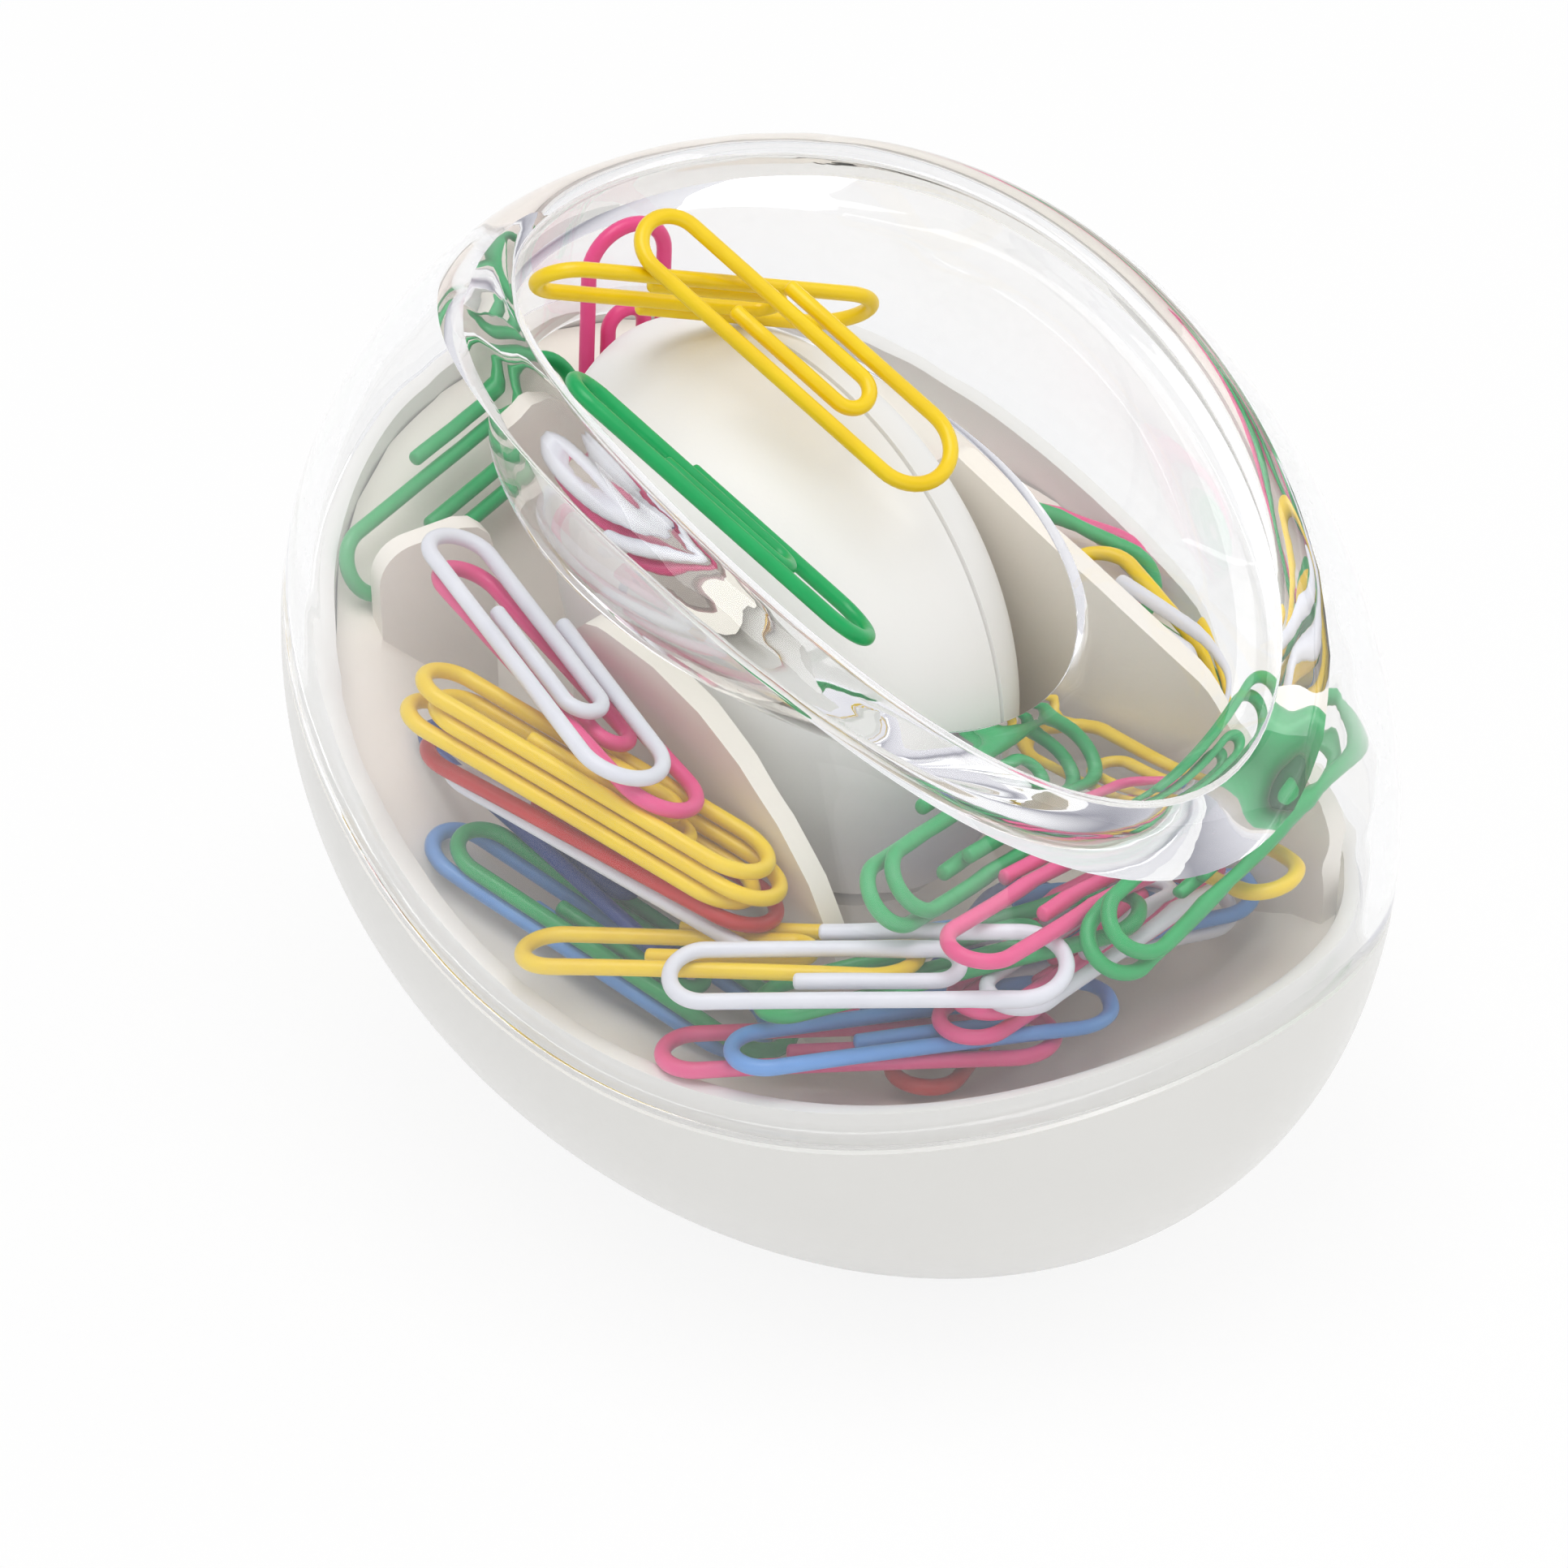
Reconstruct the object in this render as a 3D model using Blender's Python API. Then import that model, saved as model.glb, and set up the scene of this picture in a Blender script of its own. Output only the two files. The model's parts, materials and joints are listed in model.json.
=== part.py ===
"""Egg-shaped paper clip holder: clear dome with a funnel, white bowl, magnetic post and clips.

Written in millimetres and turned into metres where a mesh is made. The design frame has its origin at
the centre of the egg, with +Z up, and the egg's plane of symmetry is the YZ plane: the egg leans back
towards +Y, and the mouth slopes down towards -Y. The finished model stands on Z = 0.
"""

import math

import bmesh
import bpy
import numpy as np
from mathutils import Matrix, Vector
from mathutils.bvhtree import BVHTree
from mathutils.kdtree import KDTree

MM = 0.001

# The egg that the dome and the bowl share
EGG_LONG = 90.0
EGG_WIDE = 76.0
EGG_TAPER = 0.05
EGG_LEAN = math.radians(26.0)
FOOT_DROP = 34.0

# The seam between dome and bowl, and the mouth: heights that curve along Y; the seam's back is straight
SEAM_HEIGHT, SEAM_SLOPE, SEAM_CURVE = -4.6, 0.378, 0.0096
SEAM_STRAIGHT_FROM = 8.0
MOUTH_HEIGHT, MOUTH_SLOPE, MOUTH_CURVE = 31.4, 0.238, -0.0077

# Walls and fits
GAP = 0.3
DOME_WALL = 2.0
LIP_WIDE = 2.2
LAP = 2.9
NECK_WALL = 1.5
NECK_DRAFT = 0.3
LEDGE_WIDE = 1.6
BOWL_WALL = 3.2
BOWL_FLOOR = 4.4
SHELL_TURNS = 40

# The funnel's hole round the post
HOLE_LONG = 48.6
HOLE_WIDE = 33.4
HOLE_CENTRE_Y = 6.1
HOLE_HEIGHT, HOLE_SLOPE = 12.8, 0.2
FUNNEL_WALL = 1.6
FUNNEL_SAG = 2.2

# The post, an egg of its own that leans the same way
POST_LONG = 46.0
POST_WIDE = 30.4
POST_CENTRE = (0.0, 6.8, 6.0)
POST_LEAN = math.radians(45.0)
POST_TURN = math.radians(24.0)
POST_WALL = 1.8
POST_FOOT_HEIGHT = -12.2
PARTING_GAP = 0.4

# The tray and its walls
TRAY_THICK = 1.6
TRAY_EDGE_DEPTH = 3.0
TRAY_DISH_HEIGHT, TRAY_DISH_SLOPE = -15.0, 0.1
TRAY_RIM_SHARE = 0.91
DIVIDER_THICK = 1.7
LEFT_WALL_TOP = 11.5
RIGHT_WALL_TOP = 12.7
RIGHT_WALL_FRONT_TOP = 2.5
BACK_WALL_TOP = 12.5
LEFT_WALL_LONG = 29.0
BACK_WALL_LONG = 9.0
WALL_CORNER = 2.5
SEAT_RADIUS = 6.4
BOSS_RADIUS = 2.6

# Inside the base
WEIGHT_RADIUS = 8.8
WEIGHT_THICK = 6.0
PAD_THICK = 1.2
PAD_PROUD = 0.5
PAD_MARGIN = 3.0
SCREW_CIRCLE = 12.4
SCREW_SHANK = 1.15
SCREW_HEAD = 2.3
SCREW_HEAD_THICK = 1.5
SCREW_LENGTH = 9.0
SCREW_CLEARANCE = 0.35
FOOT_CENTRE_Y = -5.0

# The magnet in the tip
MAGNET_RADIUS = 5.5
MAGNET_THICK = 3.5
CARRIER_AT = 13.0
CARRIER_THICK = 3.0

# A clip over all, flat in its own plane
CLIP_LONG = 28.5
CLIP_WIDE = 7.6
CLIP_WIRE = 1.15
CLIP_STEP = 1.6
CLIP_INNER_END = 0.32
CLIP_OUTER_END = 0.38
CLIP_INNER_TURN = 0.73

COLOURS = {
    "clear": (0.95, 0.96, 0.98, 0.3),
    "white": (0.88, 0.88, 0.86, 1.0),
    "steel": (0.6, 0.6, 0.62, 1.0),
    "magnet": (0.35, 0.35, 0.37, 1.0),
    "rubber": (0.12, 0.12, 0.12, 1.0),
    "clip_yellow": (0.95, 0.80, 0.02, 1.0),
    "clip_green": (0.0, 0.55, 0.25, 1.0),
    "clip_pink": (0.92, 0.20, 0.50, 1.0),
    "clip_red": (0.80, 0.06, 0.06, 1.0),
    "clip_blue": (0.15, 0.45, 0.85, 1.0),
    "clip_navy": (0.02, 0.08, 0.34, 1.0),
    "clip_white": (0.90, 0.91, 0.94, 1.0),
}

# Clips on the post: colour, place from which it is pressed on (x, y, z), long and wide directions, way
TIP_CLIPS = [
    ("tip_clip_yellow_1", "clip_yellow", (-0.6, 14.6, 27.9), (0.89, -0.32, -0.34), (-0.15, 0.75, -0.64),
     (0.3, 0.3, -0.9)),
    ("tip_clip_yellow_2", "clip_yellow", (-1.2, 4.0, 30.3), (0.27, -0.80, -0.54), (0.96, 0.19, 0.21),
     (0.56, 0.59, -0.58)),
    ("tip_clip_green", "clip_green", (-14.0, -1.5, 25.0), (0.27, -0.80, -0.54), (0.71, 0.55, -0.44),
     (0.56, 0.59, -0.58)),
    ("tip_clip_pink", "clip_pink", (3.0, 26.8, 18.0), (0.0, -0.05, 1.0), (1.0, -0.2, 0.0), (0.0, 0.05, -1.0)),
]

# Clips loose in the bowl, as they are dropped in: the colours of a bundle, its place over the tray (x, y),
# its heading, and its pitch and roll against the tray's slope, in degrees
LOOSE_CLIPS = [
    (("clip_red", "clip_navy"), -6.0, -19.0, 30, 0, 0),
    (("clip_white", "clip_blue"), 3.0, -23.0, -20, 0, 0),
    (("clip_pink",), -19.0, -22.5, -35, 0, 0),
    (("clip_blue",), -15.0, -24.0, -25, 0, 5),
    (("clip_pink", "clip_pink"), -3.0, -26.0, 8, 0, 5),
    (("clip_white",), 1.0, -29.0, 5, 0, 10),
    (("clip_green",), -14.5, -26.0, -32, 0, 5),
    (("clip_yellow",), -25.0, -12.0, -58, 0, 5),
    (("clip_white",), -20.0, -22.5, -42, 0, 35),
    (("clip_green", "clip_green"), -7.5, -20.0, 15, 0, 60),
    (("clip_pink",), -5.0, -26.0, 8, -5, 25),
    (("clip_green", "clip_green"), 2.0, -28.0, 0, 10, 50),
    (("clip_yellow",), 8.0, -20.0, 80, 0, 10),
    (("clip_blue", "clip_green"), -25.5, -2.0, -62, 0, 0),
    (("clip_white",), -26.0, -6.0, -60, 0, 0),
    (("clip_navy",), -24.0, 7.0, -75, 0, 0),
    (("clip_red",), -25.5, -1.0, -62, 0, 0),
    (("clip_yellow", "clip_yellow", "clip_yellow"), -25.5, 0.0, -62, 0, 0),
    (("clip_pink",), -24.5, 7.0, -98, 0, 5),
    (("clip_white",), -24.5, 7.5, -98, 0, 15),
    (("clip_green",), -11.0, 29.0, 15, 0, 0),
    (("clip_blue", "clip_yellow"), 24.5, 0.0, -95, 0, 0),
    (("clip_green", "clip_yellow"), 23.5, -12.0, -105, 0, 0),
    (("clip_pink",), 24.0, 12.0, -75, 0, 0),
    (("clip_green",), 24.0, -4.0, -95, 0, 10),
    (("clip_yellow",), 22.0, -13.0, -112, 0, 10),
    (("clip_green",), 22.0, 8.0, -85, 0, 10),
    (("clip_white",), 22.0, -8.0, -95, 0, 20),
]
# How many ways of lying are tried for a bundle, and how far they turn and move it, in degrees and mm
TRIES = 160
TRY_TURN, TRY_TIP, TRY_ROLL, TRY_MOVE = 12.0, 12.0, 25.0, 4.0
HIGHEST_CLIP = 14.0
CLIP_GAP = 0.12


def unit(v):
    """A vector of length one."""
    v = np.asarray(v, float)
    return v / np.linalg.norm(v)


class Egg:
    """A body of revolution about a leaning axis, a little fatter at its upper end."""

    def __init__(self, centre, long, wide, taper, lean):
        self.centre = np.asarray(centre, float)
        self.half_long = long / 2
        self.half_wide = wide / 2
        self.taper = taper
        self.axis = np.array([0.0, math.cos(lean), math.sin(lean)])

    def value(self, points, inset=0.0):
        """Under 0 inside the egg drawn in by inset, 0 on it and over 0 outside."""
        q = np.atleast_2d(points) - self.centre
        along = q @ self.axis
        across = np.sqrt(np.maximum((q ** 2).sum(1) - along ** 2, 0.0))
        long = self.half_long - inset
        wide = (self.half_wide - inset) * (1 + self.taper * along / long)
        return (along / long) ** 2 + (across / wide) ** 2 - 1

    def distance(self, points, inset=0.0):
        """About how far points lie outside the egg drawn in by inset; under 0 inside."""
        scale = np.sqrt(np.maximum(self.value(points, inset) + 1, 1e-9))
        q = np.atleast_2d(points) - self.centre
        return np.linalg.norm(q, axis=1) * (1 - 1 / scale)


BODY = Egg((0, 0, 0), EGG_LONG, EGG_WIDE, EGG_TAPER, EGG_LEAN)
POST = Egg(POST_CENTRE, POST_LONG, POST_WIDE, 0.0, POST_LEAN)


def seam_height(y):
    """Height of the bowl's neck."""
    straight = np.maximum(y - SEAM_STRAIGHT_FROM, 0.0)
    return SEAM_HEIGHT + SEAM_SLOPE * y + SEAM_CURVE * (y ** 2 - straight ** 2)


def mouth_height(y):
    """Height of the lip."""
    return MOUTH_HEIGHT + MOUTH_SLOPE * y + MOUTH_CURVE * y * y


def hole_height(y):
    """Height of the funnel's hole."""
    return HOLE_HEIGHT + HOLE_SLOPE * y


def reach(angles, height, inset, egg=BODY, centre=(0.0, 0.0)):
    """Where the surface z = height(y) meets the egg drawn in by inset, one point for each angle."""
    inner = np.zeros(len(angles))
    outer = np.full(len(angles), EGG_LONG)
    for _ in range(40):
        middle = (inner + outer) / 2
        x = centre[0] + middle * np.cos(angles)
        y = centre[1] + middle * np.sin(angles)
        points = np.stack([x, y, height(y)], 1)
        inside = egg.value(points, inset) < 0
        inner = np.where(inside, middle, inner)
        outer = np.where(inside, outer, middle)
    return points


def turn_angles(count=SHELL_TURNS):
    """Angles round a ring."""
    return np.arange(count) * 2 * math.pi / count


def between(a, b, share):
    """A height function part of the way from one height function to another."""
    return lambda y: (1 - share) * a(y) + share * b(y)


def shifted(height, rise):
    """A height function moved up by rise."""
    return lambda y: height(y) + rise


def level(z):
    """A flat height function."""
    return lambda y: np.full_like(y, z)


def body_shift():
    """The move from the egg's centre to the finished frame: centred on Z = 0 under the bounding box."""
    rings = [reach(turn_angles(360), level(z), 0.0)[:, 1] for z in np.linspace(-12, 12, 49)]
    y = np.concatenate(rings)
    return np.array([0.0, -(y.min() + y.max()) / 2, FOOT_DROP + PAD_PROUD])


SHIFT = body_shift()


def material(name):
    """The finish for a slot, made once."""
    found = bpy.data.materials.get(name)
    if found:
        return found
    made = bpy.data.materials.new(name)
    made.use_nodes = True
    shader = made.node_tree.nodes["Principled BSDF"]
    r, g, b, alpha = COLOURS[name]
    shader.inputs["Base Color"].default_value = (r, g, b, 1.0)
    shader.inputs["Alpha"].default_value = alpha
    shader.inputs["Roughness"].default_value = 0.08 if name == "clear" else 0.35
    shader.inputs["Metallic"].default_value = 1.0 if name in ("steel", "magnet") else 0.0
    return made


def finish_object(name, bm, colour):
    """Make a named object from a bmesh in millimetres, in the finished frame."""
    bmesh.ops.recalc_face_normals(bm, faces=bm.faces)
    mesh = bpy.data.meshes.new(name)
    bm.to_mesh(mesh)
    bm.free()
    points = np.zeros(len(mesh.vertices) * 3, np.float32)
    mesh.vertices.foreach_get("co", points)
    points = (points.reshape(-1, 3) + SHIFT) * MM
    mesh.vertices.foreach_set("co", points.astype(np.float32).ravel())
    mesh.shade_smooth()
    mesh.set_sharp_from_angle(angle=math.radians(35))
    mesh.materials.append(material(colour))
    obj = bpy.data.objects.new(name, mesh)
    bpy.context.scene.collection.objects.link(obj)
    return obj


def ring_mesh(rings, wrap=False):
    """A bmesh through rings of points; it closes on itself, or with a face at each end."""
    bm = bmesh.new()
    loops = [[bm.verts.new(p) for p in ring] for ring in rings]
    pairs = list(zip(loops, loops[1:]))
    if wrap:
        pairs.append((loops[-1], loops[0]))
    for a, b in pairs:
        for i in range(len(a)):
            j = (i + 1) % len(a)
            bm.faces.new((a[i], a[j], b[j], b[i]))
    if not wrap:
        bm.faces.new(loops[0])
        bm.faces.new(loops[-1])
    return bm


def cylinder_mesh(low, high, radius, radius_top=None, turns=16):
    """A bmesh of a straight round bar or cone between two points."""
    low, high = Vector(low), Vector(high)
    bm = bmesh.new()
    bmesh.ops.create_cone(bm, cap_ends=True, segments=turns, radius1=radius,
                          radius2=radius if radius_top is None else radius_top,
                          depth=(high - low).length)
    turn = (high - low).to_track_quat("Z", "Y").to_matrix().to_4x4()
    bmesh.ops.transform(bm, matrix=Matrix.Translation((low + high) / 2) @ turn, verts=bm.verts)
    return bm


def cutter(name, bm, colour="steel"):
    """A shape that is only used to cut or to add."""
    obj = finish_object(name, bm, colour)
    obj.hide_render = True
    obj.display_type = "WIRE"
    return obj


def combine(obj, tool, operation):
    """Put an exact boolean on an object and apply it, and remove the tool."""
    boolean = obj.modifiers.new(tool.name, "BOOLEAN")
    boolean.operation = operation
    boolean.solver = "EXACT"
    boolean.object = tool
    evaluated = obj.evaluated_get(bpy.context.evaluated_depsgraph_get())
    mesh = bpy.data.meshes.new_from_object(evaluated)
    obj.modifiers.clear()
    old = obj.data
    obj.data = mesh
    mesh.name = obj.name
    bpy.data.meshes.remove(old)
    bpy.data.objects.remove(tool)


def make_dome():
    """The clear dome: its skin, the rounded lip, the funnel to the hole, and back to its lower edge."""
    angles = turn_angles()
    bottom = shifted(seam_height, GAP - LAP)
    lip_low = shifted(mouth_height, -LIP_WIDE / 2)
    rings = [reach(angles, between(bottom, lip_low, share), 0.0) for share in np.linspace(0, 1, 9)]
    rings.append(reach(angles, shifted(mouth_height, -LIP_WIDE * 0.15), LIP_WIDE * 0.15))
    rings.append(reach(angles, mouth_height, LIP_WIDE / 2))
    rings.append(reach(angles, shifted(mouth_height, -LIP_WIDE * 0.15), LIP_WIDE * 0.85))

    rim = reach(angles, lip_low, LIP_WIDE)
    y = HOLE_CENTRE_Y + HOLE_LONG / 2 * np.sin(angles)
    hole = np.stack([HOLE_WIDE / 2 * np.cos(angles), y, hole_height(y)], 1)
    upper, lower = [], []
    for share in np.linspace(0, 1, 6):
        sag = FUNNEL_SAG * 4 * share * (1 - share)
        upper.append(rim + (hole - rim) * share - np.array([0, 0, sag]))
    run = hole - rim
    out = (rim - [0, HOLE_CENTRE_Y, 0]) * [1, 1, 0]
    out /= np.linalg.norm(out, axis=1)[:, None]
    steep = np.abs(run[:, 2]) / np.linalg.norm(run, axis=1)
    for ring in upper:
        down = np.sqrt(1 - steep ** 2)[:, None] * np.array([0, 0, -1.0])
        lower.append(ring + FUNNEL_WALL * (steep[:, None] * out + down))
    rings += upper
    tip = (upper[-1] + lower[-1]) / 2 - out * FUNNEL_WALL * 0.35
    rings.append(tip)
    rings += lower[:0:-1]

    under_lip = shifted(mouth_height, -LIP_WIDE * 1.7)
    for share in np.linspace(1, 0, 8):
        inset = DOME_WALL if share > 0 else DOME_WALL - 0.1
        rings.append(reach(angles, between(bottom, under_lip, share), inset))
    return finish_object("clear_dome", ring_mesh(rings, wrap=True), "clear")


def screw_places():
    """The three screws round the foot's centre."""
    places = []
    for turn in (90, 210, 330):
        a = math.radians(turn)
        places.append((SCREW_CIRCLE * math.cos(a), FOOT_CENTRE_Y + SCREW_CIRCLE * math.sin(a)))
    return places


def bowl_inner_floor():
    """Height of the bowl's floor inside."""
    return -FOOT_DROP + BOWL_FLOOR


def recess_height():
    """Height of the shallow recess that takes the foot pad."""
    return -FOOT_DROP + PAD_THICK - PAD_PROUD


def pad_ring(z, margin):
    """The outline of the foot pad or of its recess."""
    ring = reach(turn_angles(), level(-FOOT_DROP), 0.0)
    centre = ring.mean(0)
    out = ring - centre
    size = np.linalg.norm(out, axis=1)[:, None]
    ring = centre + out * (size - margin) / size
    ring[:, 2] = z
    return ring


def make_bowl():
    """The white bowl: flat foot, egg-shaped side, shoulder, neck, ledge for the tray and hollow inside."""
    angles = turn_angles()
    shoulder = shifted(seam_height, -LAP)
    ledge = shifted(seam_height, -TRAY_EDGE_DEPTH - TRAY_THICK - GAP)
    neck_outer = DOME_WALL + GAP
    neck_inner = neck_outer + NECK_WALL
    rings = [reach(angles, level(-FOOT_DROP), 1.2)]
    rings += [reach(angles, between(level(-FOOT_DROP + 0.6), shoulder, share), 0.0)
              for share in np.linspace(0, 1, 8)]
    rings.append(reach(angles, shoulder, neck_outer))
    rings.append(reach(angles, seam_height, neck_outer + NECK_DRAFT))
    rings.append(reach(angles, seam_height, neck_inner))
    rings.append(reach(angles, ledge, neck_inner))
    rings.append(reach(angles, ledge, neck_inner + LEDGE_WIDE))
    for share in np.linspace(0.15, 1, 5):
        inset = neck_inner + LEDGE_WIDE + (BOWL_WALL - neck_inner - LEDGE_WIDE) * share
        rings.append(reach(angles, between(ledge, level(bowl_inner_floor()), share), inset))
    bowl = finish_object("base_bowl", ring_mesh(rings), "white")

    low = -FOOT_DROP - 2
    recess = ring_mesh([pad_ring(low, PAD_MARGIN - GAP), pad_ring(recess_height(), PAD_MARGIN - GAP)])
    combine(bowl, cutter("recess_cut", recess), "DIFFERENCE")
    for x, y in screw_places():
        head_top = recess_height() + SCREW_HEAD_THICK + GAP
        head = cylinder_mesh((x, y, low), (x, y, head_top), SCREW_HEAD + SCREW_CLEARANCE)
        combine(bowl, cutter("head_cut", head), "DIFFERENCE")
        shank = cylinder_mesh((x, y, low), (x, y, bowl_inner_floor() + 2), SCREW_SHANK + SCREW_CLEARANCE)
        combine(bowl, cutter("shank_cut", shank), "DIFFERENCE")
    return bowl


def make_pad():
    """The oval non-slip pad in the foot's recess."""
    rings = [pad_ring(-FOOT_DROP - PAD_PROUD, PAD_MARGIN + 0.4),
             pad_ring(-FOOT_DROP - PAD_PROUD + 0.3, PAD_MARGIN),
             pad_ring(recess_height() - GAP / 2, PAD_MARGIN)]
    return finish_object("foot_pad", ring_mesh(rings), "rubber")


def tray_edge(angles, depth=TRAY_EDGE_DEPTH):
    """The edge of the tray, just inside the bowl's neck."""
    inset = DOME_WALL + GAP + NECK_WALL + GAP
    return reach(angles, shifted(seam_height, -depth), inset)


def floor_points(x, y):
    """Points of the dished floor under the places (x, y)."""
    x, y = np.atleast_1d(x).astype(float), np.atleast_1d(y).astype(float)
    edge = tray_edge(np.arctan2(y, x))
    full = np.hypot(edge[:, 0], edge[:, 1])
    share = np.clip(np.hypot(x, y) / full / TRAY_RIM_SHARE, 0, 1) ** 2
    dish = TRAY_DISH_HEIGHT + TRAY_DISH_SLOPE * y
    return np.stack([x, y, dish + (seam_height(y) - TRAY_EDGE_DEPTH - dish) * share], 1)


def plate_mesh(outline, along, across):
    """A flat upright plate from an outline of (distance, height), its start point and direction."""
    start, direction = np.asarray(along[0], float), unit(along[1])
    side = np.array([-direction[1], direction[0]])
    rings = []
    for offset in (across[0], across[1]):
        ring = []
        for distance, z in outline:
            p = start + direction * distance + side * offset
            ring.append((p[0], p[1], z))
        rings.append(ring)
    return ring_mesh(rings)


def run_to_edge(start, direction):
    """How far a wall's face can run over the tray before it meets the tray's edge."""
    runs = np.linspace(0, EGG_LONG, 1801)
    places = np.asarray(start, float) + runs[:, None] * unit(direction)
    edge = tray_edge(np.arctan2(places[:, 1], places[:, 0]))
    outside = np.hypot(places[:, 0], places[:, 1]) > np.hypot(edge[:, 0], edge[:, 1])
    return runs[np.argmax(outside)]


def wall_outline(start, direction, length, top, front_top, round_front):
    """A wall that stands in the tray's floor: its top slopes from top to front_top, with round corners."""
    start, direction = np.asarray(start, float), unit(direction)
    run = np.linspace(0, length, 9)
    places = start + run[:, None] * direction
    floor = floor_points(places[:, 0], places[:, 1])[:, 2] - TRAY_THICK / 2
    outline = list(zip(run, floor))
    low = floor[-1] if front_top is None else front_top - round_front
    far = WALL_CORNER if front_top is None else length - round_front
    rise = (top if front_top is None else front_top) - low
    for turn in np.linspace(3, 88, 9):
        a = math.radians(turn)
        outline.append((far + (length - far) * math.cos(a), low + rise * math.sin(a)))
    for turn in (90, 120, 150, 180):
        a = math.radians(turn)
        outline.append((WALL_CORNER * (1 + math.cos(a)), top - WALL_CORNER * (1 - math.sin(a))))
    return outline


def make_tray():
    """The dished floor with its three walls, the post's seat and the screw bosses under it."""
    angles = turn_angles()
    edge = tray_edge(angles)
    upper, lower = [], []
    for share in (0.12, 0.3, 0.5, 0.68, 0.82, TRAY_RIM_SHARE, 1.0):
        ring = floor_points(edge[:, 0] * share, edge[:, 1] * share)
        upper.append(ring)
        lower.append(ring - np.array([0, 0, TRAY_THICK]))
    lower[-1] = tray_edge(angles, TRAY_EDGE_DEPTH + TRAY_THICK)
    tray = finish_object("inner_tray", ring_mesh(upper + lower[::-1]), "white")

    side = POST_WIDE / 2 + GAP + DIVIDER_THICK / 2
    right_long = run_to_edge((side + DIVIDER_THICK / 2, 7.0), (0, -1))
    walls = [
        ("left", (-side, 10.5), (0, -1), LEFT_WALL_LONG, LEFT_WALL_TOP, None, None),
        ("right", (side, 7.0), (0, -1), right_long, RIGHT_WALL_TOP, RIGHT_WALL_FRONT_TOP, 5.0),
        ("back", (-14.0, 23.0), (-0.96, 0.28), BACK_WALL_LONG, BACK_WALL_TOP, BACK_WALL_TOP - 0.3, 3.0),
    ]
    for name, start, direction, *shape in walls:
        plate = plate_mesh(wall_outline(start, direction, *shape), (start, direction),
                           (-DIVIDER_THICK / 2, DIVIDER_THICK / 2))
        combine(tray, cutter("wall_" + name, plate), "UNION")

    seat_y = post_foot_y()
    seat_low = floor_points(0, seat_y)[0, 2] - TRAY_THICK / 2
    seat = cylinder_mesh((0, seat_y, seat_low), (0, seat_y, POST_FOOT_HEIGHT - GAP), SEAT_RADIUS + 0.8,
                         SEAT_RADIUS, 24)
    combine(tray, cutter("seat", seat), "UNION")
    for x, y in screw_places():
        top = floor_points(x, y)[0, 2] - TRAY_THICK / 2
        boss = cylinder_mesh((x, y, bowl_inner_floor() + GAP), (x, y, top), BOSS_RADIUS, BOSS_RADIUS + 0.6)
        combine(tray, cutter("boss", boss), "UNION")
        bore = cylinder_mesh((x, y, bowl_inner_floor() - 1), (x, y, screw_top() + 0.6),
                             SCREW_SHANK + GAP / 2)
        combine(tray, cutter("bore", bore), "DIFFERENCE")
    through = cylinder_mesh((0, seat_y, POST_FOOT_HEIGHT - 8), (0, seat_y, POST_FOOT_HEIGHT + 2),
                            SCREW_SHANK + SCREW_CLEARANCE)
    combine(tray, cutter("through", through), "DIFFERENCE")
    return tray


def screw_top():
    """How high a tray screw reaches."""
    return recess_height() + GAP / 2 + SCREW_LENGTH


def make_screw(name, foot, colour="steel"):
    """A pan-head screw that points up, with its head's underside at foot."""
    x, y, z = foot
    turns = 12
    angles = turn_angles(turns)

    def ring(radius, height):
        return np.stack([x + radius * np.cos(angles), y + radius * np.sin(angles),
                         np.full(turns, z + height)], 1)

    rings = [ring(0.8, -SCREW_HEAD_THICK), ring(SCREW_HEAD - 0.4, -SCREW_HEAD_THICK),
             ring(SCREW_HEAD, -SCREW_HEAD_THICK + 0.4), ring(SCREW_HEAD, 0),
             ring(SCREW_SHANK, 0), ring(SCREW_SHANK, SCREW_LENGTH - SCREW_HEAD_THICK - 0.8),
             ring(0.3, SCREW_LENGTH - SCREW_HEAD_THICK)]
    return finish_object(name, ring_mesh(rings), colour)


def post_foot_y():
    """Where the lowest point of the post lies."""
    a, b = POST.half_long, POST.half_wide
    drop = math.hypot(a * math.sin(POST_LEAN), b * math.cos(POST_LEAN))
    return POST_CENTRE[1] - (a * a - b * b) * math.sin(POST_LEAN) * math.cos(POST_LEAN) / drop


def post_frame():
    """The post's axis, the direction in its parting plane and the direction square to that plane."""
    axis = POST.axis
    up = np.array([0.0, -math.sin(POST_LEAN), math.cos(POST_LEAN)])
    across = np.array([1.0, 0.0, 0.0])
    in_plane = math.cos(POST_TURN) * up + math.sin(POST_TURN) * across
    square = math.cos(POST_TURN) * across - math.sin(POST_TURN) * up
    return axis, in_plane, square


def half_shell_mesh(side):
    """Half of the post's shell on one side of the parting plane, as a cup of even wall."""
    axis, in_plane, square = post_frame()
    centre = np.asarray(POST_CENTRE)
    turns = 18

    def dome(inset, lift):
        """Rings from the parting plane to the pole, the last one small."""
        long, wide = POST.half_long - inset, POST.half_wide - inset
        rings = []
        for latitude in (0, 16, 32, 48, 64, 78, 88):
            a = math.radians(latitude)
            flat = math.cos(a)
            angles = np.arange(2 * turns) * math.pi / turns
            ring = (centre + np.outer(np.cos(angles) * flat * long, axis)
                    + np.outer(np.sin(angles) * flat * wide, in_plane)
                    + square * side * (lift + math.sin(a) * (wide - lift)))
            rings.append(ring)
        return rings

    outer = dome(0.0, PARTING_GAP / 2)
    inner = dome(POST_WALL, PARTING_GAP / 2)
    return ring_mesh(outer[::-1] + inner)


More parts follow.
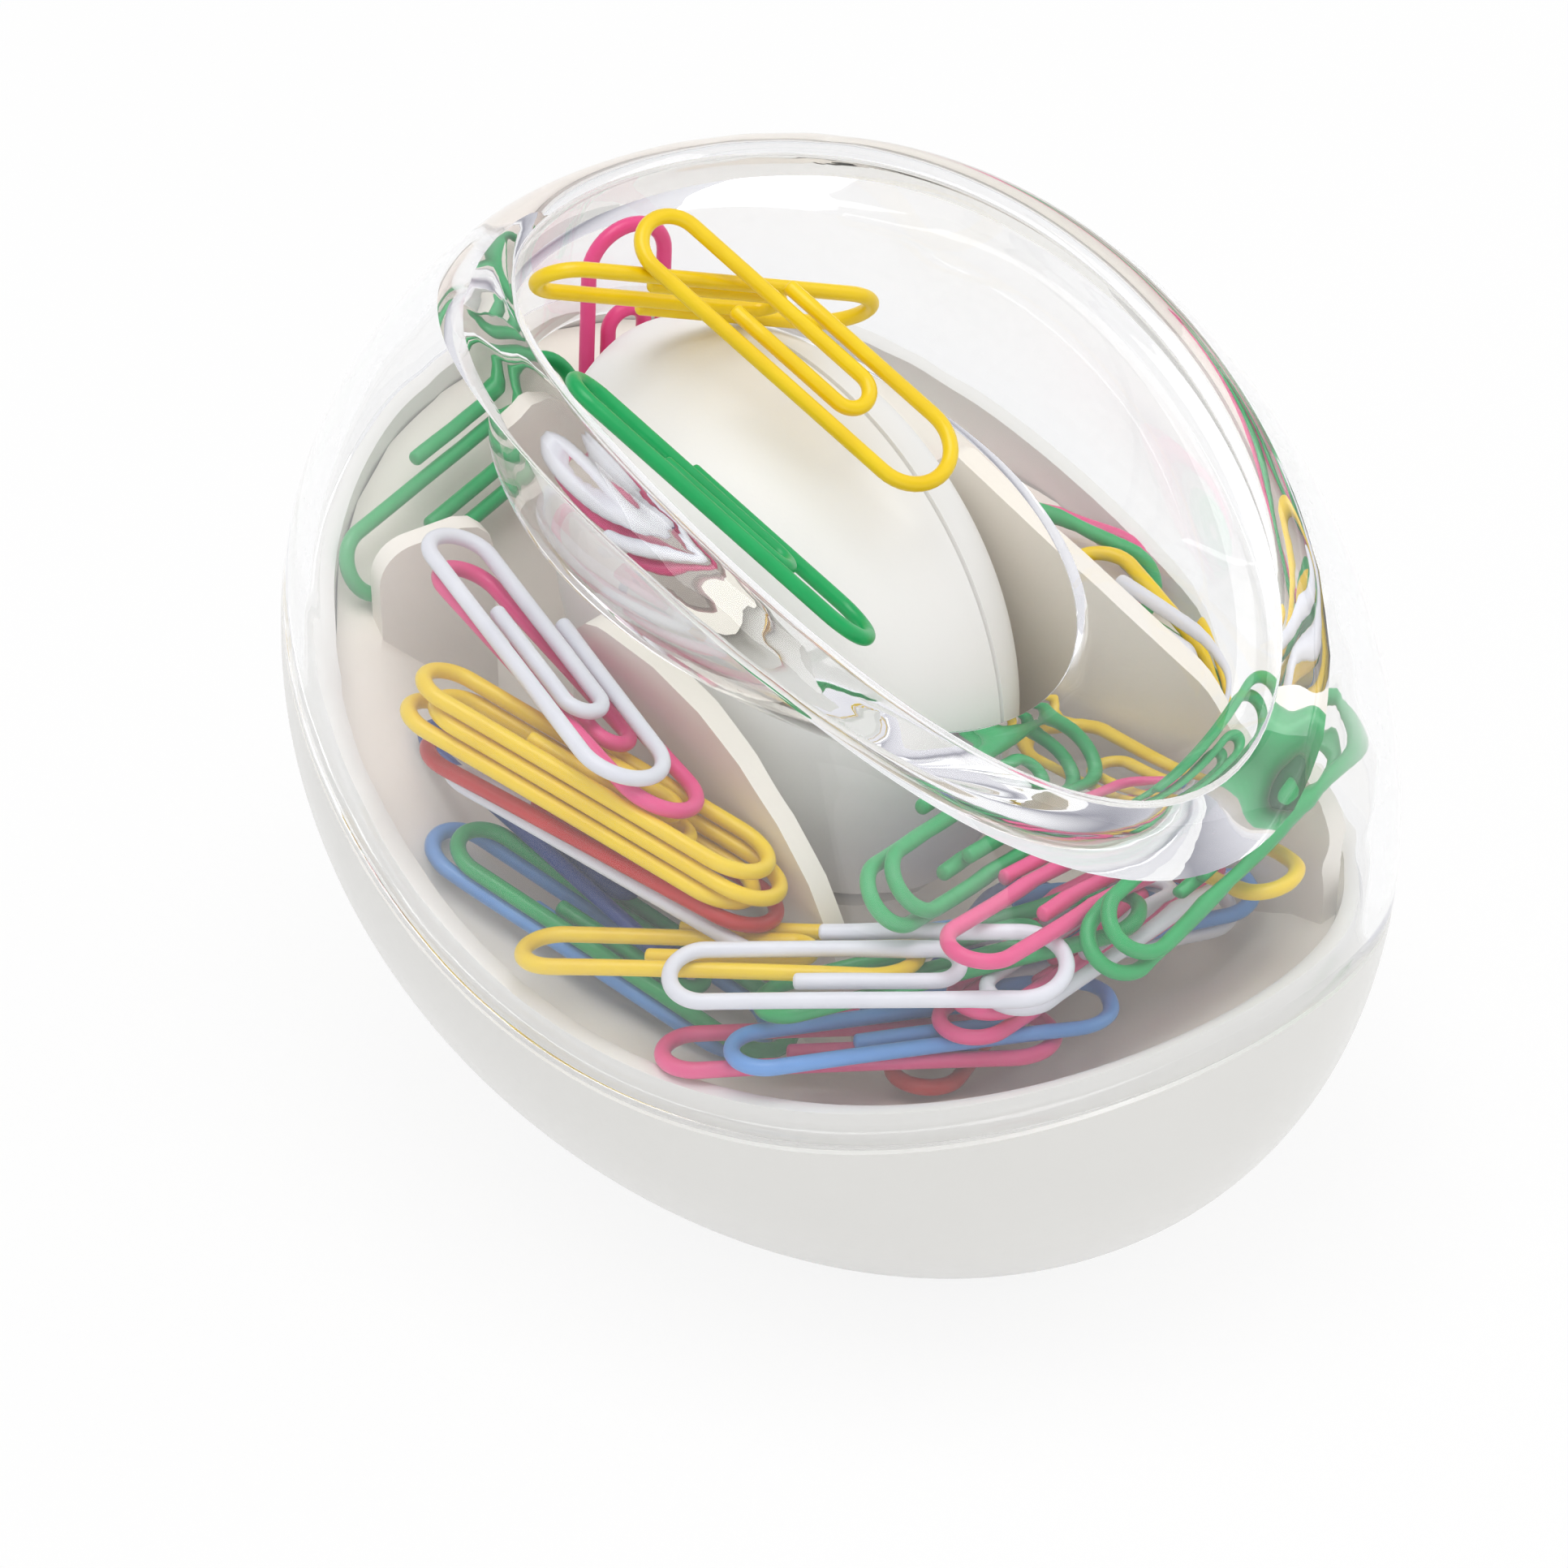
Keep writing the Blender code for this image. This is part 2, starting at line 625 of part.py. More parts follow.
def make_post():
    """The two half shells of the post, the screw boss in one, the magnet and its carrier."""
    axis, _, _ = post_frame()
    centre = np.asarray(POST_CENTRE)
    seat_y = post_foot_y()
    left = finish_object("post_left_shell", half_shell_mesh(-1), "white")
    right = finish_object("post_right_shell", half_shell_mesh(1), "white")
    boss = cylinder_mesh((0, seat_y, POST_FOOT_HEIGHT + 0.2), (0, seat_y, POST_FOOT_HEIGHT + 7.0),
                         BOSS_RADIUS)
    combine(right, cutter("post_boss", boss), "UNION")
    room = cylinder_mesh((0, seat_y, POST_FOOT_HEIGHT - 1), (0, seat_y, POST_FOOT_HEIGHT + 7.0 + GAP),
                         BOSS_RADIUS + GAP)
    combine(left, cutter("boss_room", room), "DIFFERENCE")
    for half in (left, right):
        foot = bmesh.new()
        bmesh.ops.create_cube(foot, size=30.0)
        bmesh.ops.translate(foot, vec=(0, seat_y, POST_FOOT_HEIGHT - 15.0), verts=foot.verts)
        combine(half, cutter("foot_cut", foot), "DIFFERENCE")
    bore = cylinder_mesh((0, seat_y, POST_FOOT_HEIGHT - 1), (0, seat_y, POST_FOOT_HEIGHT + 6.0),
                         SCREW_SHANK + GAP / 2)
    combine(right, cutter("post_bore", bore), "DIFFERENCE")

    inner_long, inner_wide = POST.half_long - POST_WALL, POST.half_wide - POST_WALL
    top = CARRIER_AT
    radius = inner_wide * math.sqrt(1 - (top / inner_long) ** 2) - GAP
    finish_object("magnet_carrier", cylinder_mesh(
        centre + axis * (top - CARRIER_THICK), centre + axis * top, radius, radius, 24), "white")
    low = top + GAP
    finish_object("tip_magnet", cylinder_mesh(
        centre + axis * low, centre + axis * (low + MAGNET_THICK), MAGNET_RADIUS, MAGNET_RADIUS, 24),
        "magnet")
    under = floor_points(0, seat_y)[0, 2] - TRAY_THICK - 2 * GAP
    make_screw("post_screw", (0, seat_y, under))
    return left, right


def make_weight():
    """The steel disc on the bowl's inner floor."""
    low = bowl_inner_floor() + GAP / 2
    return finish_object("base_weight", cylinder_mesh(
        (0, FOOT_CENTRE_Y, low), (0, FOOT_CENTRE_Y, low + WEIGHT_THICK), WEIGHT_RADIUS, WEIGHT_RADIUS, 28),
        "steel")


def clip_path(turn_steps=6):
    """The bent wire of a clip in its plane, as (along, across), centred on its middle."""
    long, wide = CLIP_LONG - CLIP_WIRE, CLIP_WIDE - CLIP_WIRE
    big, middle, small = wide / 2, (wide - CLIP_STEP) / 2, wide / 2 - CLIP_STEP - 0.1
    points = [(long * CLIP_OUTER_END, wide)]

    def turn(along, across, radius, first, last):
        for a in np.linspace(first, last, turn_steps + 1):
            a = math.radians(a)
            points.append((along + radius * math.cos(a), across + radius * math.sin(a)))

    turn(long - big, big, big, 90, -90)
    turn(middle, middle, middle, 270, 90)
    turn(long * CLIP_INNER_TURN - small, 2 * middle - small, small, 90, -90)
    points.append((long * CLIP_INNER_END, 2 * (middle - small)))
    return np.array(points) - [long / 2, wide / 2]


def clip_points(centre, along, across, spacing=None):
    """The clip's wire in space, from its middle and its two directions; evenly dense when spaced."""
    along = unit(along)
    across = unit(np.asarray(across, float) - along * np.dot(across, along))
    path = clip_path()
    if spacing:
        dense = [path[0]]
        for a, b in zip(path, path[1:]):
            count = max(1, int(np.linalg.norm(b - a) / spacing))
            dense += [a + (b - a) * k / count for k in range(1, count + 1)]
        path = np.array(dense)
    return np.asarray(centre, float) + np.outer(path[:, 0], along) + np.outer(path[:, 1], across)


class Room:
    """The free space round the clips: distances to the solids made so far and to clips placed before."""

    def __init__(self, solids):
        points, faces = [], []
        for solid in solids:
            start = len(points)
            points += [Vector(np.array(v.co) / MM - SHIFT) for v in solid.data.vertices]
            faces += [[start + v for v in face.vertices] for face in solid.data.polygons]
        self.solids = BVHTree.FromPolygons(points, faces)
        self.wires = []
        self.tree = None

    def add(self, wire):
        """Take a placed clip's points into the room."""
        self.wires.append(wire)
        points = np.concatenate(self.wires)
        self.tree = KDTree(len(points))
        for i, point in enumerate(points):
            self.tree.insert(point, i)
        self.tree.balance()

    def free(self, points):
        """True where a wire through the points stays clear of everything by the gap."""
        for point in points:
            if self.solids.find_nearest(point, CLIP_WIRE / 2 + CLIP_GAP)[0] is not None:
                return False
            if self.tree and self.tree.find(point)[2] < CLIP_WIRE + CLIP_GAP:
                return False
        return True


def lie(x, y, heading, pitch, roll):
    """The directions along and across a clip that lies on the tray's slope at a place."""
    heights = floor_points(np.array([x - 5, x + 5, x, x]), np.array([y, y, y - 5, y + 5]))[:, 2]
    up = unit([(heights[0] - heights[1]) / 10, (heights[2] - heights[3]) / 10, 1.0])
    heading, pitch, roll = map(math.radians, (heading, pitch, roll))
    level_way = np.array([math.cos(heading), math.sin(heading), 0.0])
    flat = unit(level_way - up * np.dot(level_way, up))
    across = np.cross(up, flat)
    along = flat * math.cos(pitch) + up * math.sin(pitch)
    return along, across * math.cos(roll) + np.cross(along, across) * math.sin(roll)


def place_bundle(count, place, room, chance):
    """A bundle's height, middles and directions, at the lowest free height of many ways of lying."""
    x, y, heading, pitch, roll = place
    best, low = None, CLIP_WIRE / 2 + CLIP_GAP
    for number in range(TRIES):
        amount = 0 if number == 0 else 0.35 + 0.65 * number / TRIES
        turn, tip, over, right, on = chance.uniform(-amount, amount, 5)
        spot = np.array([x + TRY_MOVE * right, y + TRY_MOVE * on, 0.0])
        along, across = lie(spot[0], spot[1], heading + TRY_TURN * turn, pitch + TRY_TIP * tip,
                            roll + TRY_ROLL * over)
        stack = np.cross(along, across) * (CLIP_WIRE + CLIP_GAP + 0.03)
        middles = [spot + stack * (i - (count - 1) / 2) + along * (1.6 * (i % 2) - 0.8) for i in range(count)]
        points = np.concatenate([clip_points(middle, along, across, spacing=1.1) for middle in middles])
        floor = floor_points(points[:, 0], points[:, 1])[:, 2]
        start = (floor - points[:, 2]).max() + low
        limit = HIGHEST_CLIP if best is None else best[0] - 0.3
        for z in np.arange(start, limit, 0.5):
            lifted = points + [0, 0, z]
            if BODY.distance(lifted, DOME_WALL).max() < -low and room.free(lifted):
                best = (z, [middle + [0, 0, z] for middle in middles], along, across)
                break
    return best


def drop(middles, along, across, room):
    """How far a bundle can go straight down before it touches."""
    step, moved = 0.4, 0.0
    while step > 0.03 and moved < 10:
        lower = [middle - [0, 0, moved + step] for middle in middles]
        if all(room.free(clip_points(middle, along, across, spacing=0.8)) for middle in lower):
            moved += step
        else:
            step /= 2
    return moved


def press_on(centre, along, across, way, room):
    """Move a clip along a way until its wire lies against the post or a clip before it."""
    centre, way = np.asarray(centre, float), unit(way)
    step, moved = 1.0, 1.0
    for moved in range(1, -12, -1):
        if room.free(clip_points(centre + way * moved, along, across, spacing=0.8)):
            break
    while step > 0.02 and moved < 30:
        points = clip_points(centre + way * (moved + step), along, across, spacing=0.8)
        if room.free(points):
            moved += step
        else:
            step /= 2
    return centre + way * moved


def make_clip(name, colour, centre, along, across):
    """A bent wire as a curve with a round section and closed ends."""
    curve = bpy.data.curves.new(name, "CURVE")
    curve.dimensions = "3D"
    curve.bevel_depth = CLIP_WIRE / 2 * MM
    curve.bevel_resolution = 1
    curve.use_fill_caps = True
    points = (clip_points(centre, along, across) + SHIFT) * MM
    spline = curve.splines.new("POLY")
    spline.points.add(len(points) - 1)
    for point, place in zip(spline.points, points):
        point.co = (*place, 1.0)
    curve.materials.append(material(colour))
    obj = bpy.data.objects.new(name, curve)
    bpy.context.scene.collection.objects.link(obj)
    return obj


def make_clips(solids):
    """The clips on the post's tip, then those loose in the bowl, each laid on what is there."""
    room = Room(solids)
    for name, colour, centre, along, across, way in TIP_CLIPS:
        centre = press_on(centre, along, across, way, room)
        room.add(clip_points(centre, along, across, spacing=0.8))
        make_clip(name, colour, centre, along, across)
    number = 0
    for colours, *place in LOOSE_CLIPS:
        found = place_bundle(len(colours), place, room, np.random.default_rng(number))
        if found is None:
            continue
        _, middles, along, across = found
        fall = drop(middles, along, across, room)
        for colour, middle in zip(colours, middles):
            number += 1
            middle = middle - [0, 0, fall]
            room.add(clip_points(middle, along, across, spacing=0.8))
            make_clip("loose_clip_%02d" % number, colour, middle, along, across)


def main():
    for obj in list(bpy.data.objects):
        bpy.data.objects.remove(obj)
    dome = make_dome()
    bowl = make_bowl()
    make_pad()
    tray = make_tray()
    left, right = make_post()
    make_weight()
    foot = recess_height() + GAP / 2 + SCREW_HEAD_THICK
    for number, (x, y) in enumerate(screw_places(), 1):
        make_screw("tray_screw_%d" % number, (x, y, foot))
    make_clips([dome, bowl, tray, left, right])


main()
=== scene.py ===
# %% [markdown]
# # A paper clip holder under a clear dome
# The object is an egg, cut by a slanting seam into a white bowl and a clear dome. A post with a magnet in
# its tip stands in the dome's hole, and coloured clips lie round its foot. This notebook gives the moulded
# parts their fine shape and every part its finish. The parts' places come from the CAD frame, so the first
# cell loads it.

import json
import math

import bpy
import numpy as np
from mathutils import Matrix, Vector
from mathutils.kdtree import KDTree

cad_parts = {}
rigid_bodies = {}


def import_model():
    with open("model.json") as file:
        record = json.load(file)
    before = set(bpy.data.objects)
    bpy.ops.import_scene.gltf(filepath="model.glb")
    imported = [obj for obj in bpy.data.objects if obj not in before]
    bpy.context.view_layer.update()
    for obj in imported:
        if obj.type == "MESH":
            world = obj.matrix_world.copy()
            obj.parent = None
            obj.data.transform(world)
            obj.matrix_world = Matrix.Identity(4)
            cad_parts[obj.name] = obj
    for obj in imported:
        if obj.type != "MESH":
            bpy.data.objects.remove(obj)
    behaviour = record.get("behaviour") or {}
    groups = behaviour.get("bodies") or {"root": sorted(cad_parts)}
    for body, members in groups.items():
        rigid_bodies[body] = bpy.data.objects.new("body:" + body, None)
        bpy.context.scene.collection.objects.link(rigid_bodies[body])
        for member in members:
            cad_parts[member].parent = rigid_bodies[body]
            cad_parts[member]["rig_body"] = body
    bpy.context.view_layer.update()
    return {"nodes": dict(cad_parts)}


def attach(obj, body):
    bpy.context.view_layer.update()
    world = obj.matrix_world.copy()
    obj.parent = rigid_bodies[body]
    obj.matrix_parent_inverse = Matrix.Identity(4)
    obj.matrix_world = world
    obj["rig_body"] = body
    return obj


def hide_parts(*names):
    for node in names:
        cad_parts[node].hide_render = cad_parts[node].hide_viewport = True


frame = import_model()
MM = 0.001

# %% [markdown]
# ## The camera
# The picture looks down on the holder from its left and front, from about 36 degrees up, through a long
# lens, so that upright lines hardly lean. A camera takes a place, a point to look at and a focal length.
# The direction to the point is turned into a rotation with to_track_quat, which keeps the picture level.

# %% Set the camera
CAMERA_PLACE = Vector((-0.4033, -0.4142, 0.4426))
CAMERA_AIM = Vector((-0.00972, -0.00368, 0.0345))
LENS = 223.8

camera_data = bpy.data.cameras.new("camera")
camera_data.lens = LENS
camera_data.sensor_width = 36.0
camera = bpy.data.objects.new("camera", camera_data)
bpy.context.scene.collection.objects.link(camera)
camera.location = CAMERA_PLACE
camera.rotation_euler = (CAMERA_AIM - CAMERA_PLACE).to_track_quat("-Z", "Y").to_euler()
bpy.context.scene.camera = camera
print("camera distance in mm:", round((CAMERA_AIM - CAMERA_PLACE).length / MM))

# %% [markdown]
# ## Small tools for modelling
# Blender's operators act on what is selected, so a tool that selects one object alone comes first. A second
# one applies a modifier, which turns a live effect into real mesh. A third opens edit mode with nothing
# selected in it, which is where most steps start.


# %% Tools for selecting and applying
def select_only(piece):
    """Make a piece the only selected object and the active one."""
    if bpy.context.object and bpy.context.object.mode != "OBJECT":
        bpy.ops.object.mode_set(mode="OBJECT")
    bpy.ops.object.select_all(action="DESELECT")
    piece.select_set(True)
    bpy.context.view_layer.objects.active = piece


def apply_modifier(piece, kind, **settings):
    """Add a modifier with its settings and turn its effect into mesh."""
    select_only(piece)
    modifier = piece.modifiers.new(kind.lower(), kind)
    for name, value in settings.items():
        setattr(modifier, name, value)
    bpy.ops.object.modifier_apply(modifier=modifier.name)


def edit_mode(piece, kind="VERT"):
    """Open a piece in edit mode with nothing selected."""
    select_only(piece)
    bpy.ops.object.mode_set(mode="EDIT")
    bpy.ops.mesh.select_mode(type=kind)
    bpy.ops.mesh.select_all(action="DESELECT")


def triangle_count(piece):
    """How many triangles a mesh has."""
    return sum(len(face.vertices) - 2 for face in piece.data.polygons)


# %% [markdown]
# ## Small tools for materials
# A material is a graph of nodes, and sums on values are Math nodes. Python can build them from plain
# expressions if a class stands for a node's output and says what + and * mean for it. Every other node
# comes from one method, which takes the node's type, its settings, and the values or links of its sockets.


# %% Tools for shader nodes
class Value:
    """A node's output in an expression: each operator adds the Math node that works it out."""

    def __init__(self, graph, socket):
        self.graph, self.socket = graph, socket

    def sum(self, operation, first, second):
        return self.graph.node("ShaderNodeMath", {"operation": operation}, {0: first, 1: second})

    def __add__(self, other):
        return self.sum("ADD", self, other)

    def __sub__(self, other):
        return self.sum("SUBTRACT", self, other)

    def __mul__(self, other):
        return self.sum("MULTIPLY", self, other)

    def __pow__(self, other):
        return self.sum("POWER", self, other)

    def clipped(self):
        """The same value, kept between 0 and 1."""
        return self.graph.node("ShaderNodeClamp", {}, {"Value": self})


class Graph:
    """A node tree, with one way to add any node to it."""

    def __init__(self, tree):
        self.tree = tree

    def node(self, kind, settings=None, sockets=None, output=0):
        """A node of a type, its settings made first, then its sockets set or linked."""
        made = self.tree.nodes.new(kind)
        for name, value in (settings or {}).items():
            if name == "stops":
                ramp = made.color_ramp
                for stop, (place, colour) in zip(list(ramp.elements), value):
                    stop.position, stop.color = place, colour
                for place, colour in value[2:]:
                    ramp.elements.new(place).color = colour
            else:
                setattr(made, name, value)
        for name, value in (sockets or {}).items():
            self.put(made.inputs[name], value)
        return Value(self, made.outputs[output])

    def put(self, socket, value):
        """Link a value to a socket, or write a number or colour on it."""
        if isinstance(value, Value):
            self.tree.links.new(value.socket, socket)
        else:
            socket.default_value = value

    def read(self, kind, output):
        """One output of an input node, such as Light Path."""
        return self.node(kind, output=output)


class Finish(Graph):
    """A material with a Principled shader, and the nodes that feed it."""

    def __init__(self, name, **sockets):
        self.material = bpy.data.materials.new(name)
        self.material.use_nodes = True
        super().__init__(self.material.node_tree)
        self.shader = self.tree.nodes["Principled BSDF"]
        self.plastic = Value(self, self.shader.outputs[0])
        self.end = self.tree.nodes["Material Output"].inputs["Surface"]
        self.feed(**sockets)

    def feed(self, **sockets):
        """Set or link the Principled shader's own sockets."""
        for name, value in sockets.items():
            self.put(self.shader.inputs[name.replace("_", " ")], value)

    def place(self):
        """The point on the piece, in metres."""
        return self.node("ShaderNodeTexCoord", output="Object")

    def noise(self, size_mm, detail=2.0, rough=0.5, stretch=(1, 1, 1)):
        """Noise from 0 to 1 whose blotches are about size_mm across."""
        scaled = self.node("ShaderNodeMapping", {}, {"Vector": self.place(), "Scale": stretch})
        return self.node("ShaderNodeTexNoise", {}, {
            "Vector": scaled, "Scale": 1 / (size_mm * MM), "Detail": detail, "Roughness": rough})

    def blend(self, mask, first, second):
        """A colour between two, by a mask from 0 to 1."""
        return self.node("ShaderNodeMix", {"data_type": "RGBA"}, {0: mask, 6: first, 7: second}, output=2)

    def bump(self, height, depth_mm, strength=1.0):
        """A normal from a height from 0 to 1 that stands for depth_mm."""
        return self.node("ShaderNodeBump", {}, {
            "Height": height, "Distance": depth_mm * MM, "Strength": strength})


def put_on(piece, finish):
    """Give a piece one material all over."""
    piece.data.materials.clear()
    piece.data.materials.append(finish.material)


# %% [markdown]
# ## The clear plastic
# The dome is moulded polystyrene: hard, glossy and colourless. A Principled shader with full transmission
# and the plastic's real index of 1.49 bends light at both faces of the wall, which draws the bright and
# dark lines along the lip. Nothing moulded is quite even, so the faces get a very shallow flow pattern and
# faint smears in the gloss.

# %% Make the clear plastic
PLASTIC_INDEX = 1.49
CLEAR_TINT, CLEAR_TINT_DEEP = (0.992, 0.993, 0.996, 1.0), (0.980, 0.982, 0.990, 1.0)
FLOW_MM, FLOW_DEPTH_MM = 14.0, 0.012
SMEAR_MM, SMEAR_ROUGHNESS = 9.0, 0.012

clear = Finish("clear_plastic", Transmission_Weight=1.0, IOR=PLASTIC_INDEX)
flow = clear.noise(FLOW_MM, detail=1.0)
clear.feed(Base_Color=clear.blend(flow, CLEAR_TINT, CLEAR_TINT_DEEP))
clear.feed(Normal=clear.bump(flow, FLOW_DEPTH_MM))
clear.feed(Roughness=clear.noise(SMEAR_MM, detail=3.0) ** 3.0 * SMEAR_ROUGHNESS)
print("clear plastic nodes:", len(clear.tree.nodes))

# %% [markdown]
# Handling leaves fine dust and scuffs, which scatter a little white light and veil what lies behind. A
# Mix Shader adds a few hundredths of a matt white where a sharp noise says so. Two kinds of ray pass straight
# through the plastic. One kind carries light from surface to surface, and a path tracer finds too little of
# it behind bent walls. The other has been reflected about inside the thick lip so often that it would be
# given up as black, where the real lip shows the white room. A Light Path node tells both kinds.

# %% Add dust, and let the light through
DUST, DUST_MM, DUST_EVERYWHERE = 0.03, 1.3, 0.15
DUST_WHITE = (0.86, 0.86, 0.88, 1.0)
MOST_REFLECTIONS = 2
WALL_DIM = (0.996, 0.997, 0.998, 1.0)

dust_white = clear.node("ShaderNodeBsdfDiffuse", {}, {"Color": DUST_WHITE})
specks = clear.noise(DUST_MM, detail=6.0, rough=0.75) ** 3.0 * 2.0
dust_mask = (specks + DUST_EVERYWHERE) * DUST
dusty = clear.node("ShaderNodeMixShader", {}, {0: dust_mask, 1: clear.plastic, 2: dust_white})
straight_through = clear.node("ShaderNodeBsdfTransparent", {}, {"Color": WALL_DIM})
carries_light = (clear.read("ShaderNodeLightPath", "Is Shadow Ray")
                 + clear.read("ShaderNodeLightPath", "Is Diffuse Ray"))
trapped = clear.read("ShaderNodeLightPath", "Glossy Depth") - MOST_REFLECTIONS
clear.put(clear.end, clear.node("ShaderNodeMixShader", {}, {
    0: carries_light + trapped.clipped(), 1: dusty, 2: straight_through}))
print("clear plastic nodes with dust:", len(clear.tree.nodes))

# %% [markdown]
# ## The white plastics
# The bowl, the post and the tray are moulded in white plastic. It is never one flat value: the mould's
# fine grain breaks up the gloss, and the colour drifts a little where the plastic is thicker or handled.
# One function makes all three, with a large slow noise for colour, a middle one for gloss and a fine one
# for the grain, because the parts differ only in warmth and in how polished their mould was.

# %% Make the white plastics
DRIFT_MM = 22.0
PATCH_MM, PATCH_ROUGHNESS = 6.0, 0.1


def white_plastic(name, light, dark, gloss, grain_mm, grain_depth_mm):
    """A moulded white: two near colours, the mean roughness, and the size and depth of its grain."""
    finish = Finish(name, IOR=PLASTIC_INDEX)
    drift = finish.noise(DRIFT_MM, detail=3.0)
    finish.feed(Base_Color=finish.blend(drift, light, dark))
    patches = finish.noise(PATCH_MM, detail=4.0)
    finish.feed(Roughness=patches * PATCH_ROUGHNESS + (gloss - PATCH_ROUGHNESS / 2))
    grain = finish.noise(grain_mm, detail=3.0)
    finish.feed(Normal=finish.bump(grain, grain_depth_mm))
    return finish


bowl_white = white_plastic("white_bowl", (0.79, 0.785, 0.765, 1), (0.755, 0.75, 0.73, 1), 0.24, 0.6, 0.006)
post_white = white_plastic("white_post", (0.86, 0.855, 0.84, 1), (0.83, 0.82, 0.80, 1), 0.42, 0.35, 0.012)
tray_white = white_plastic("white_tray", (0.89, 0.85, 0.785, 1), (0.86, 0.81, 0.735, 1), 0.5, 0.5, 0.02)
print("white plastics:", bowl_white.material.name, post_white.material.name, tray_white.material.name)

# %% [markdown]
# ## Fine shapes for the moulded parts
# The CAD frame holds the dome, bowl, tray and post as coarse triangles. Their faces lie in rings, so a
# copy whose doubles are merged and whose triangles are paired gives clean quads, and a Subdivision Surface
# turns those into smooth plastic. Edges that the mould leaves sharp are found by their angle and creased,
# so that they stay crisp with a small round, as on a real moulding.

# %% Make fine copies of the moulded parts
SHARP_EDGE = math.radians(38)
MERGE_MM = 0.002
CREASE = 0.85


def moulded_copy(node, name, body, finish, levels=2):
    """A fine, smooth copy of a CAD node that stands for it."""
    piece = bpy.data.objects.new(name, frame["nodes"][node].data.copy())
    bpy.context.scene.collection.objects.link(piece)
    edit_mode(piece, "EDGE")
    bpy.ops.mesh.customdata_custom_splitnormals_clear()
    bpy.ops.mesh.select_all(action="SELECT")
    bpy.ops.mesh.remove_doubles(threshold=MERGE_MM * MM)
    bpy.ops.mesh.tris_convert_to_quads(face_threshold=math.radians(50), shape_threshold=math.radians(60))
    bpy.ops.mesh.select_all(action="DESELECT")
    bpy.ops.mesh.edges_select_sharp(sharpness=SHARP_EDGE)
    bpy.ops.transform.edge_crease(value=CREASE)
    bpy.ops.object.mode_set(mode="OBJECT")
    if levels:
        apply_modifier(piece, "SUBSURF", levels=levels, render_levels=levels)
    bpy.ops.object.shade_smooth_by_angle(angle=SHARP_EDGE)
    put_on(piece, finish)
    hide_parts(node)
    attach(piece, body)
    print(name, "triangles:", triangle_count(piece))
    return piece


moulded_copy("clear_dome", "dome_clear", "dome", clear)
moulded_copy("base_bowl", "bowl_white", "base", bowl_white)
moulded_copy("post_left_shell", "post_left", "base", post_white)
moulded_copy("post_right_shell", "post_right", "base", post_white)

# %% [markdown]
# ## The tray and its walls
# The tray's walls were joined to its floor, so its triangles don't lie in rings and a subdivision would
# pinch them. Here a narrow bevel on every sharp edge rounds the walls' tops instead, as the mould does.

# %% Round the tray's edges
EDGE_ROUND_MM = 0.35

tray = moulded_copy("inner_tray", "tray_white", "base", tray_white, levels=0)
apply_modifier(tray, "BEVEL", width=EDGE_ROUND_MM * MM, segments=3, limit_method="ANGLE",
               angle_limit=math.radians(42))
select_only(tray)
bpy.ops.object.shade_smooth_by_angle(angle=math.radians(40))
print("tray triangles:", triangle_count(tray))

# %% [markdown]
# ## The coated wire
# Each clip is steel wire in a thin coloured vinyl coat. The coat is softer than moulded plastic: its gloss
# varies along the wire, it is a little thicker in places, and the colour darkens where it is thick. A noise
# of one to a few millimetres drives each. One function makes the seven colours.

# %% Make the coloured vinyl
VINYL_INDEX = 1.5
COAT_MM = 4.0
GLOSS_MM, VINYL_ROUGHNESS, ROUGHNESS_SPREAD = 1.6, 0.24, 0.16
LUMP_MM, LUMP_DEPTH_MM = 1.1, 0.06


def vinyl(name, light, dark):
    """A vinyl coat between two near colours."""
    finish = Finish(name, IOR=VINYL_INDEX)
    thick = finish.noise(COAT_MM, detail=2.0)
    finish.feed(Base_Color=finish.blend(thick, light, dark))
    finish.feed(Roughness=finish.noise(GLOSS_MM, detail=3.0) * ROUGHNESS_SPREAD + VINYL_ROUGHNESS)
    lumps = finish.noise(LUMP_MM, detail=2.0)
    finish.feed(Normal=finish.bump(lumps, LUMP_DEPTH_MM, strength=0.8))
    return finish


VINYLS = {
    "yellow": vinyl("vinyl_yellow", (0.90, 0.66, 0.002, 1), (0.78, 0.50, 0.001, 1)),
    "green": vinyl("vinyl_green", (0.001, 0.42, 0.11, 1), (0.001, 0.29, 0.075, 1)),
    "pink": vinyl("vinyl_pink", (0.86, 0.085, 0.29, 1), (0.69, 0.045, 0.19, 1)),
    "red": vinyl("vinyl_red", (0.62, 0.016, 0.014, 1), (0.42, 0.008, 0.008, 1)),
    "white": vinyl("vinyl_white", (0.78, 0.79, 0.85, 1), (0.66, 0.67, 0.74, 1)),
    "blue": vinyl("vinyl_blue", (0.14, 0.36, 0.76, 1), (0.08, 0.24, 0.60, 1)),
    "navy": vinyl("vinyl_navy", (0.015, 0.06, 0.30, 1), (0.008, 0.03, 0.18, 1)),
}
print("vinyl colours:", ", ".join(VINYLS))

# %% [markdown]
# ## One clip, bent from wire
# A clip is one length of wire with three half turns: a wide one, a narrower one at the other end, and a
# small one inside. It is modelled the way it is made. A circle the size of the wire starts at the outer
# free end, is extruded along each straight run and spun round each turn's centre. The last ring and the
# first are drawn in a little and closed, as the coat is where the wire was cut. The two ends and the inner
# turn lie at shares of the clip's run.

